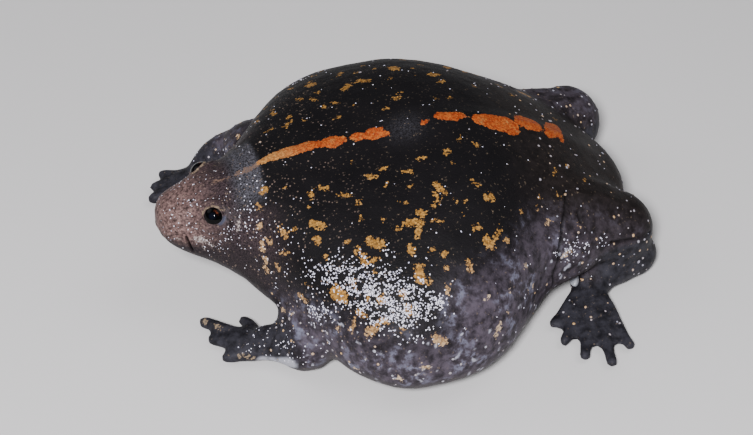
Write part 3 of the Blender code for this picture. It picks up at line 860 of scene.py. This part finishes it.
def granule_size(place):
    """Larger in the flank's cluster, smallest on the head."""
    if place.x > 27.0 and place.z > 10.0:
        return HEAD_GRANULE_SIZES
    on_flank = -1.0 < place.x < 21.0 and place.y > 18.0
    return FLANK_GRANULE_SIZES if on_flank else GRANULE_SIZES


def pustule_tint(draw):
    """Mostly grey white, and tan on some of them."""
    return draw.uniform(0.55, 1.0) if draw.random() < 0.35 else draw.uniform(0.0, 0.25)


def granule_tint(draw):
    return draw.uniform(0.0, 1.0)


# Eyes and spades


def make_eyeball(side, eyes):
    centre, radius, look = eyes[side]
    form = bmesh.new()
    bmesh.ops.create_uvsphere(form, u_segments=64, v_segments=40, radius=radius * MM)
    turn = look.to_track_quat("Z", "Y").to_matrix().to_4x4()
    bmesh.ops.transform(form, matrix=Matrix.Translation(centre * MM) @ turn, verts=form.verts)
    return object_from(form, f"{side}_eyeball")


def make_spade(side):
    """A digging spade: a horny scoop that thins to its free edge on the inner side."""
    low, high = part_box(f"{side}_spade")
    middle = (low + high) / 2
    long_half, across_half, high_half = SPADE_HALF_SIZES
    form = bmesh.new()
    bmesh.ops.create_uvsphere(form, u_segments=36, v_segments=24, radius=1.0)
    for vert in form.verts:
        out = vert.co.y
        thin = 1.0 - 0.72 * max(0.0, out + 0.35) / 1.35
        ridge = 0.05 * math.cos(9 * vert.co.x) * (1 - abs(out))
        vert.co.z = vert.co.z * thin * (1 + ridge) - 0.22 * out * out
    inwards = -1 if side == "left" else 1
    size = Matrix.Diagonal((long_half * MM, inwards * across_half * MM, high_half * MM, 1))
    turn = Matrix.Rotation(math.radians(SPADE_AIMS[side]), 4, "Z")
    bmesh.ops.transform(form, matrix=Matrix.Translation(middle) @ turn @ size, verts=form.verts)
    bmesh.ops.recalc_face_normals(form, faces=form.faces)
    return object_from(form, f"{side}_digging_spade")


# Shader nodes


def node(tree, kind, inputs=(), **settings):
    """Adds a shader node. Each input is a value or another node's output."""
    made = tree.nodes.new(kind)
    for key, value in settings.items():
        setattr(made, key, value)
    for name, value in dict(inputs).items():
        if isinstance(value, bpy.types.NodeSocket):
            tree.links.new(value, made.inputs[name])
        else:
            made.inputs[name].default_value = value
    return made


def math_of(tree, operation, *values):
    made = node(tree, "ShaderNodeMath", dict(enumerate(values)), operation=operation)
    return made.outputs[0]


def product(tree, first, *others):
    """All the values multiplied together."""
    for value in others:
        first = math_of(tree, "MULTIPLY", first, value)
    return first


def swing(tree, value, middle, share):
    """How far a value is from its middle, times the share."""
    return product(tree, math_of(tree, "SUBTRACT", value, middle), share)


def vector_of(tree, operation, *values):
    return node(tree, "ShaderNodeVectorMath", dict(enumerate(values)), operation=operation).outputs


def mask_between(tree, value, start, end):
    """0 before start, 1 after end."""
    made = node(
        tree,
        "ShaderNodeMapRange",
        {"Value": value, "From Min": start, "From Max": end},
        interpolation_type="SMOOTHSTEP",
    )
    return made.outputs["Result"]


def mixed(tree, share, first, second):
    """The first colour where share is 0, the second where it is 1."""
    made = node(tree, "ShaderNodeMix", {0: share, 6: first, 7: second}, data_type="RGBA")
    return made.outputs[2]


def mixed_between(tree, value, start, end, first, second):
    """The first colour where the value is before start, the second where it is after end."""
    return mixed(tree, mask_between(tree, value, start, end), first, second)


def field(tree, name):
    return node(tree, "ShaderNodeAttribute", attribute_name=name).outputs["Fac"]


def broken_field(tree, name, value, middle, share):
    """A field whose edges are broken up by the swings of a value."""
    away = math_of(tree, "SUBTRACT", value, middle)
    return math_of(tree, "MULTIPLY_ADD", away, share, field(tree, name))


def object_place(tree):
    return node(tree, "ShaderNodeTexCoord").outputs["Object"]


def noise_of(tree, place, size, detail=3.0, roughness=0.55):
    """Noise from 0 to 1 with blobs of about size millimetres."""
    made = node(
        tree,
        "ShaderNodeTexNoise",
        {"Vector": place, "Scale": 1 / (size * MM), "Detail": detail, "Roughness": roughness},
    )
    return made.outputs["Fac"]


def cells_of(tree, place, size):
    """Rounded cells of about size millimetres, with a random colour for each."""
    return node(tree, "ShaderNodeTexVoronoi", {"Vector": place, "Scale": 1 / (size * MM)})


def random_of(tree, cells):
    """The cells' random number, from 0 to 1."""
    return node(tree, "ShaderNodeSeparateColor", {"Color": cells.outputs["Color"]}).outputs["Red"]


def new_material(name, settings):
    """A material, its node tree and its Principled shader, with the settings on its sockets."""
    material = bpy.data.materials.new(name)
    material.use_nodes = True
    tree = material.node_tree
    shader = tree.nodes["Principled BSDF"]
    for socket, value in settings.items():
        shader.inputs[socket].default_value = value
    return material, tree, shader


def rgb(red, green, blue):
    return (red, green, blue, 1.0)


def add_shine(tree, shader, value, start, end):
    """Roughness that goes from start to end as the value goes from 0 to 1."""
    shine = node(tree, "ShaderNodeMapRange", {"Value": value, "To Min": start, "To Max": end})
    tree.links.new(shine.outputs["Result"], shader.inputs["Roughness"])


def make_grain_group():
    """The skin's fine granular relief, which the skin and its pustules share."""
    group = bpy.data.node_groups.new("skin_grain", "ShaderNodeTree")
    interface = group.interface
    interface.new_socket("Vector", in_out="INPUT", socket_type="NodeSocketVector")
    interface.new_socket("Height", in_out="OUTPUT", socket_type="NodeSocketFloat")
    start = group.nodes.new("NodeGroupInput")
    place = start.outputs["Vector"]
    grains = cells_of(group, place, 0.34)
    domes = math_of(group, "SUBTRACT", 1.0, grains.outputs["Distance"])
    soft = noise_of(group, place, 0.9, detail=4.0)
    height = math_of(group, "MULTIPLY_ADD", domes, 0.8, soft)
    node(group, "NodeGroupOutput", {"Height": height})
    return group


def add_grain(tree, shader, group, place, depth):
    """Gives a material the skin's fine relief."""
    grain = node(tree, "ShaderNodeGroup", node_tree=group)
    tree.links.new(place, grain.inputs["Vector"])
    relief = {"Strength": 0.4, "Distance": depth * MM, "Height": grain.outputs["Height"]}
    bump = node(tree, "ShaderNodeBump", relief)
    tree.links.new(bump.outputs["Normal"], shader.inputs["Normal"])


# Materials


def skin_patterns(tree):
    """What the skin's layers share: noises from broad to fine, single grains, and place."""
    place = object_place(tree)
    parts = node(tree, "ShaderNodeSeparateXYZ", {0: place}).outputs
    grains = cells_of(tree, place, 0.3)
    return SimpleNamespace(
        place=place,
        forward=parts["X"],
        aloft=parts["Z"],
        patches=noise_of(tree, place, 5.0),
        mottle=noise_of(tree, place, 1.6, detail=5.0, roughness=0.65),
        fine=noise_of(tree, place, 0.5, detail=4.0),
        scratches=noise_of(tree, place, 0.28, detail=5.0, roughness=0.75),
        chance=random_of(tree, grains),
        edges=mask_between(tree, grains.outputs["Distance"], 0.75, 0.4),
    )


def ground_tones(tree, on):
    """Near black on the back, browner behind, clouded on the flanks, with soft pale spots."""
    colour = mixed(tree, on.patches, rgb(0.0032, 0.0030, 0.0036), rgb(0.0098, 0.0084, 0.0094))
    rear = mixed_between(
        tree, on.mottle, 0.35, 0.65, rgb(0.0085, 0.0066, 0.0062), rgb(0.0175, 0.0132, 0.0122)
    )
    colour = mixed(tree, field(tree, "rump"), colour, rear)
    brown = mixed_between(
        tree, on.mottle, 0.3, 0.7, rgb(0.014, 0.0115, 0.0145), rgb(0.088, 0.072, 0.092)
    )
    colour = mixed(tree, field(tree, "flank"), colour, brown)
    cloud = product(
        tree,
        mask_between(tree, on.mottle, 0.49, 0.64),
        field(tree, "flank"),
        mask_between(tree, on.patches, 0.45, 0.6),
        mask_between(tree, field(tree, "rump"), 1.6, 0.0),
        0.8,
    )
    colour = mixed(tree, cloud, colour, rgb(0.175, 0.185, 0.255))
    colour = mixed(tree, field(tree, "under"), colour, rgb(0.050, 0.043, 0.046))
    hide = mixed_between(
        tree, on.mottle, 0.3, 0.68, rgb(0.009, 0.0085, 0.0105), rgb(0.034, 0.033, 0.041)
    )
    colour = mixed(tree, field(tree, "limb"), colour, hide)
    spot = broken_field(tree, "spot", on.fine, 0.5, 0.7)
    return mixed_between(tree, spot, 0.3, 0.85, colour, rgb(0.36, 0.36, 0.42))


def head_tones(tree, on, colour):
    """The scratchy face and nape with painted shade low on the face, the pinkish snout, and the pale lips
    and palms.
    """
    face = mixed_between(
        tree, on.scratches, 0.35, 0.65, rgb(0.006, 0.0045, 0.0052), rgb(0.062, 0.042, 0.046)
    )
    # Painted shade: the face grows darker from below the eyes down to the jaw.
    lower_face_shade = product(tree, mask_between(tree, on.aloft, 19.5 * MM, 15.5 * MM), 0.6)
    face = mixed(tree, lower_face_shade, face, rgb(0.011, 0.009, 0.0105))
    colour = mixed(tree, field(tree, "face"), colour, face)
    nape = mixed_between(
        tree, on.scratches, 0.4, 0.62, rgb(0.011, 0.0105, 0.0115), rgb(0.104, 0.101, 0.118)
    )
    colour = mixed(tree, field(tree, "nape"), colour, nape)
    snout = mixed_between(tree, on.fine, 0.3, 0.7, rgb(0.030, 0.018, 0.016), rgb(0.195, 0.119, 0.108))
    snout = mixed_between(tree, on.scratches, 0.54, 0.68, snout, rgb(0.36, 0.24, 0.21))
    colour = mixed(tree, field(tree, "snout"), colour, snout)
    broken = math_of(tree, "ADD", product(tree, on.scratches, 1.6), on.fine)
    lips = mask_between(tree, broken_field(tree, "lips", broken, 1.35, 3.4), 0.35, 1.3)
    colour = mixed(tree, product(tree, lips, field(tree, "lips")), colour, rgb(0.42, 0.36, 0.33))
    palm = mixed(tree, on.mottle, rgb(0.26, 0.28, 0.34), rgb(0.46, 0.45, 0.48))
    return mixed(tree, field(tree, "palm"), colour, palm)


def add_specks(tree, on, colour):
    """Fine pale specks towards the head."""
    dots = cells_of(tree, on.place, 0.42)
    speck = product(
        tree,
        mask_between(tree, random_of(tree, dots), 0.85, 0.95),
        mask_between(tree, dots.outputs["Distance"], 0.42, 0.26),
        mask_between(tree, on.forward, 0.0, 20.0 * MM),
        mask_between(tree, on.aloft, 8.0 * MM, 12.0 * MM),
        0.8,
    )
    return mixed(tree, speck, colour, rgb(0.20, 0.145, 0.115))


def add_marks(tree, on, colour, ragged):
    """The thin line over the crown, and the marks: tan, but cream on the flanks."""
    crown = mask_between(tree, math_of(tree, "ADD", field(tree, "crown"), ragged), -0.1, 0.3)
    colour = mixed(tree, product(tree, crown, 0.75), colour, rgb(0.19, 0.12, 0.085))
    tan = mixed(tree, on.chance, rgb(0.22, 0.095, 0.015), rgb(0.48, 0.25, 0.06))
    cream = mixed(tree, on.chance, rgb(0.38, 0.24, 0.12), rgb(0.60, 0.46, 0.32))
    tan = mixed(tree, field(tree, "flank"), tan, cream)
    tan = mixed(tree, product(tree, field(tree, "face"), 0.5), tan, cream)
    tan = mixed(tree, field(tree, "limb"), tan, rgb(0.26, 0.19, 0.12))
    tan = mixed(tree, on.edges, mixed(tree, 0.5, tan, colour), tan)
    mark = math_of(tree, "ADD", field(tree, "mark"), ragged)
    return mixed_between(tree, mark, 0.0, 0.12, colour, tan)


def add_stripe(tree, on, colour, ragged):
    """The orange stripe, paler towards the head and in blotches."""
    orange = mixed(tree, on.chance, rgb(0.30, 0.032, 0.006), rgb(0.52, 0.13, 0.02))
    pale = mixed(tree, on.chance, rgb(0.34, 0.12, 0.03), rgb(0.55, 0.27, 0.08))
    orange = mixed_between(tree, on.forward, 13.0 * MM, 21.0 * MM, orange, pale)
    orange = mixed_between(tree, on.mottle, 0.55, 0.7, orange, pale)
    orange = mixed(tree, on.edges, mixed(tree, 0.35, orange, colour), orange)
    stripe = math_of(tree, "MULTIPLY_ADD", ragged, 0.45, field(tree, "stripe"))
    return mixed_between(tree, stripe, 0.0, 0.12, colour, orange)


def add_lids(tree, on, colour):
    """The lids' tan edges, the membrane behind each eye, and painted shade, near black, in the folds."""
    lid = broken_field(tree, "lid", on.fine, 0.55, 3.0)
    edge = mixed(tree, on.fine, rgb(0.09, 0.062, 0.04), rgb(0.36, 0.27, 0.18))
    colour = mixed_between(tree, lid, 0.2, 0.9, colour, edge)
    colour = mixed(tree, field(tree, "membrane"), colour, rgb(0.065, 0.072, 0.105))
    # Painted shade: near black in the bottom of each crease, mouth corner and nostril.
    return mixed(tree, field(tree, "painted_fold_shade"), colour, rgb(0.0015, 0.0012, 0.0012))


def skin_material(grain):
    """The skin's layers, from its ground to the shade painted in its folds."""
    material, tree, shader = new_material("wet_toad_skin", {"Specular IOR Level": 0.11})
    on = skin_patterns(tree)
    # The marks and the stripe are both ragged at the edge of single grains.
    ragged = math_of(tree, "ADD", swing(tree, on.fine, 0.5, 1.7), swing(tree, on.chance, 0.5, 0.45))
    colour = ground_tones(tree, on)
    colour = head_tones(tree, on, colour)
    colour = add_specks(tree, on, colour)
    colour = add_marks(tree, on, colour, ragged)
    colour = add_stripe(tree, on, colour, ragged)
    colour = add_lids(tree, on, colour)
    tree.links.new(colour, shader.inputs["Base Color"])
    add_shine(tree, shader, on.mottle, 0.42, 0.62)
    add_grain(tree, shader, grain, on.place, 0.09)
    return material


def pustule_material(grain):
    """Dark at the foot of each wart, pale at its tip, and tan on some."""
    material, tree, shader = new_material("pale_tipped_wart", {"Specular IOR Level": 0.45})
    place = object_place(tree)
    pale = mixed(tree, field(tree, "tint"), rgb(0.36, 0.36, 0.43), rgb(0.55, 0.34, 0.15))
    blotch = swing(tree, noise_of(tree, place, 0.4), 0.5, 0.6)
    height = math_of(tree, "ADD", field(tree, "tip"), blotch)
    colour = mixed_between(tree, height, 0.15, 0.75, rgb(0.022, 0.018, 0.019), pale)
    tree.links.new(colour, shader.inputs["Base Color"])
    add_shine(tree, shader, height, 0.4, 0.25)
    add_grain(tree, shader, grain, place, 0.08)
    return material


def granule_and_glint_material():
    """Bluish white, whiter on some, and grey at the foot of each granule. The white is partly the
    granules' own and partly painted glints.
    """
    material, tree, shader = new_material("white_granule_and_painted_glint", {"Roughness": 0.22})
    white = mixed(tree, field(tree, "tint"), rgb(0.70, 0.69, 0.86), rgb(0.98, 0.95, 1.0))
    colour = mixed_between(tree, field(tree, "tip"), 0.0, 0.3, rgb(0.42, 0.42, 0.50), white)
    tree.links.new(colour, shader.inputs["Base Color"])
    return material


def eye_material(side, eyes):
    """A near black eye with a painted dark blue reflection at its middle, and a rim of dark rust above and
    behind its wide pupil.
    """
    centre, _, look = eyes[side]
    material, tree, shader = new_material(
        f"{side}_eye_gloss", {"Roughness": 0.05, "Specular IOR Level": 0.1}
    )
    place = object_place(tree)
    out = vector_of(tree, "SUBTRACT", place, centre * MM)["Vector"]
    way = vector_of(tree, "NORMALIZE", out)["Vector"]
    facing = vector_of(tree, "DOT_PRODUCT", way, look)["Value"]
    up, forward = eye_axes(look)
    aim = (look + 0.55 * up - 0.45 * forward).normalized()
    near = vector_of(tree, "DOT_PRODUCT", way, aim)["Value"]
    rim = product(
        tree,
        mask_between(tree, facing, 0.93, 0.9),
        mask_between(tree, facing, 0.81, 0.85),
        mask_between(tree, near, 0.92, 0.99),
        mask_between(tree, noise_of(tree, place, 0.25), 0.35, 0.6),
    )
    # Painted reflection: dark blue in the middle of the eye, where it faces straight out.
    black_with_painted_reflection = mixed_between(tree, facing, 0.92, 1.0, rgb(0.001, 0.001, 0.001), rgb(0.003, 0.004, 0.008))
    colour = mixed(tree, rim, black_with_painted_reflection, rgb(0.085, 0.022, 0.010))
    tree.links.new(colour, shader.inputs["Base Color"])
    return material


def spade_material():
    """Pale streaky horn."""
    material, tree, shader = new_material("pale_horn", {"Roughness": 0.3})
    streaks = noise_of(tree, object_place(tree), 0.5)
    colour = mixed(tree, streaks, rgb(0.20, 0.21, 0.24), rgb(0.46, 0.47, 0.50))
    tree.links.new(colour, shader.inputs["Base Color"])
    return material


def dress(item, material, slot, *replaced):
    """Gives a piece its finish and its place on the frame, and hides the nodes that it stands for."""
    item.data.materials.clear()
    item.data.materials.append(material)
    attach(item, "root")
    if replaced:
        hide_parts(*replaced)


# Floor, light and camera


def make_floor():
    form = bmesh.new()
    bmesh.ops.create_grid(form, x_segments=1, y_segments=1, size=FLOOR_HALF_WIDTH)
    floor = object_from(form, "floor")
    looks = {"Roughness": 0.8, "Base Color": rgb(*FLOOR_TINT)}
    material, _, _ = new_material("pale_floor", looks)
    floor.data.materials.append(material)


def direction(azimuth, elevation):
    """The way from the toad towards a viewer."""
    a, e = math.radians(azimuth), math.radians(elevation)
    return Vector((math.sin(a) * math.cos(e), -math.cos(a) * math.cos(e), math.sin(e)))


def add_light(name, azimuth, elevation, distance, width, power):
    """A round soft light that shines at the floor's middle."""
    lamp = bpy.data.lights.new(name, "AREA")
    lamp.shape = "DISK"
    lamp.size = width
    lamp.energy = power
    lamp.color = LIGHT_TINT
    item = bpy.data.objects.new(name, lamp)
    item.location = direction(azimuth, elevation) * distance
    item.rotation_euler = (-item.location).to_track_quat("-Z", "Y").to_euler()
    bpy.context.scene.collection.objects.link(item)


def add_camera():
    camera = bpy.data.cameras.new("camera")
    camera.lens = CAMERA_LENS
    camera.clip_start = 0.01
    item = bpy.data.objects.new("camera", camera)
    back = direction(CAMERA_AZIMUTH, CAMERA_ELEVATION)
    item.location = (Vector(CAMERA_TARGET) + back * CAMERA_DISTANCE) * MM
    item.rotation_euler = back.to_track_quat("Z", "Y").to_euler()
    bpy.context.scene.collection.objects.link(item)
    bpy.context.scene.camera = item


def add_light_and_camera():
    world = bpy.data.worlds.new("studio")
    world.use_nodes = True
    sky = world.node_tree.nodes["Background"].inputs
    sky["Color"].default_value = rgb(*SKY_TINT)
    sky["Strength"].default_value = SKY_STRENGTH
    bpy.context.scene.world = world
    for light in LIGHTS:
        add_light(*light)
    add_camera()


def main():
    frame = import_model()
    eyes = eye_places()
    draw = np.random.default_rng(SEED)
    grain = make_grain_group()
    skin = make_skin(frame["nodes"], eyes, draw)
    dress(skin, skin_material(grain), "body_skin", *FLESH)
    warts = scatter(skin.data, pustule_crowding, PUSTULE_SPACING, draw)
    pustules = make_domes("pustules", warts, pustule_size, pustule_tint, draw, **PUSTULE_DOMES)
    dress(pustules, pustule_material(grain), "body_skin")
    # White granules, partly pale granules and partly painted glints.
    dots = scatter(skin.data, granule_crowding, GRANULE_SPACING, draw, eyes)
    granules = make_domes("white_granules_and_painted_glints", dots, granule_size, granule_tint, draw, **GRANULE_DOMES)
    dress(granules, granule_and_glint_material(), "body_skin")
    horn = spade_material()
    for side in SIDES:
        dress(make_eyeball(side, eyes), eye_material(side, eyes), "eye", f"{side}_eye")
        dress(make_spade(side), horn, "spade", f"{side}_spade")
    make_floor()
    add_light_and_camera()


main()
